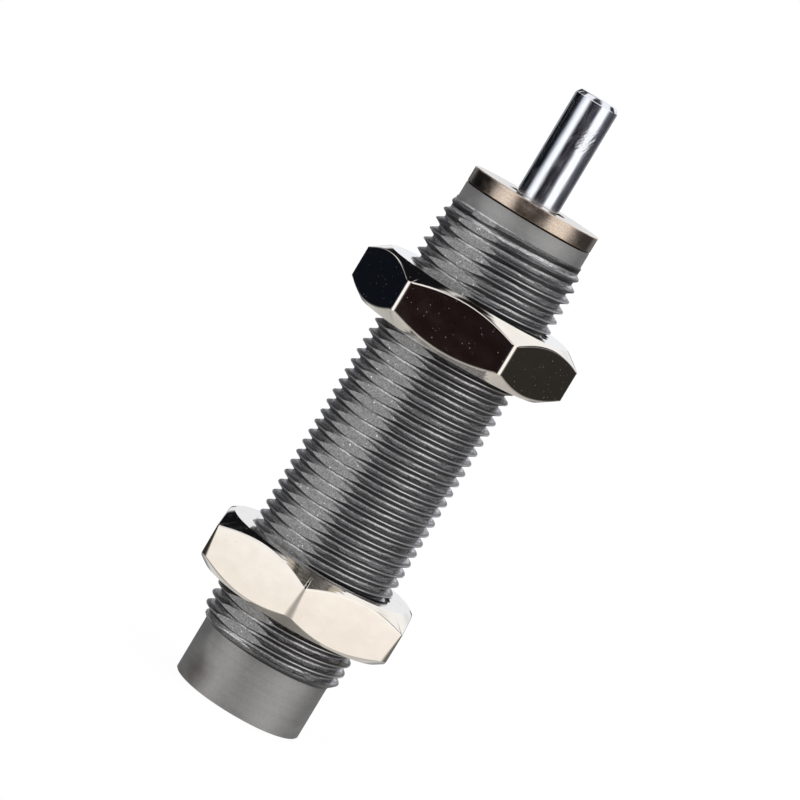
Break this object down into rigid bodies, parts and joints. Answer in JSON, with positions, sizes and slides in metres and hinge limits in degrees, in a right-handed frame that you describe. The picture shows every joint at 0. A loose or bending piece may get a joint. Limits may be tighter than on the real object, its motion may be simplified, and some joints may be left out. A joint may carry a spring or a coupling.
{
  "type": "industrial shock absorber",
  "caption": "Small threaded hydraulic shock absorber with a chromed spring-return rod, a bronze stopper and hexagon lock nuts on a threaded tube.",
  "frame": {"origin": "centre of the outer tube's flat rear face", "axes": "+Z along the axis, from the rear face to the rod's tip; the milled flat faces 29.5 degrees to the left of -Y"},
  "size_m": [0.0312, 0.0312, 0.0895],
  "materials": {
    "tube_steel": "rolled and turned steel, thin grey plating",
    "nut_nickel": "bright nickel plate",
    "rod_chrome": "ground and hard chromed",
    "stopper_bronze": "turned bronze",
    "bearing_bronze": "sintered bronze",
    "holder_bronze": "turned copper alloy",
    "ground_steel": "fine ground steel",
    "spring_steel": "drawn spring wire",
    "ball_steel": "polished bearing ball",
    "black_oxide": "black oxide",
    "seal_rubber": "moulded nitrile rubber",
    "cell_foam": "closed-cell nitrile foam"
  },
  "bodies": {
    "tube": {"outer_tube": "tube_steel", "inner_tube": "ground_steel", "rod_bearing": "bearing_bronze", "bearing_gasket": "seal_rubber", "accumulator_foam": "cell_foam", "seal_holder": "holder_bronze", "rod_seal": "seal_rubber", "holder_gasket": "seal_rubber", "stopper": "stopper_bronze", "scraper": "seal_rubber", "fill_ball": "ball_steel", "fill_screw": "black_oxide", "return_spring": "spring_steel"},
    "rod": {"piston_rod": "rod_chrome", "piston": "ground_steel", "piston_ring": "bearing_bronze", "spring_guide": "ground_steel", "lock_ring": "spring_steel"},
    "front_nut": {"front_nut": "nut_nickel"},
    "rear_nut": {"rear_nut": "nut_nickel"}
  },
  "joints": [
    {"name": "rod_stroke", "type": "slide", "parent": "tube", "child": "rod", "axis": [0, 0, -1], "range_m": [0, 0.015], "stiffness_N_per_m": 811, "springref_m": -0.01028, "deforming": ["return_spring"]},
    {"name": "front_nut_travel", "type": "slide", "parent": "tube", "child": "front_nut", "axis": [0, 0, 1], "range_m": [-0.015, 0.0095]},
    {"name": "rear_nut_travel", "type": "slide", "parent": "tube", "child": "rear_nut", "axis": [0, 0, 1], "range_m": [-0.006, 0.015]}
  ]
}
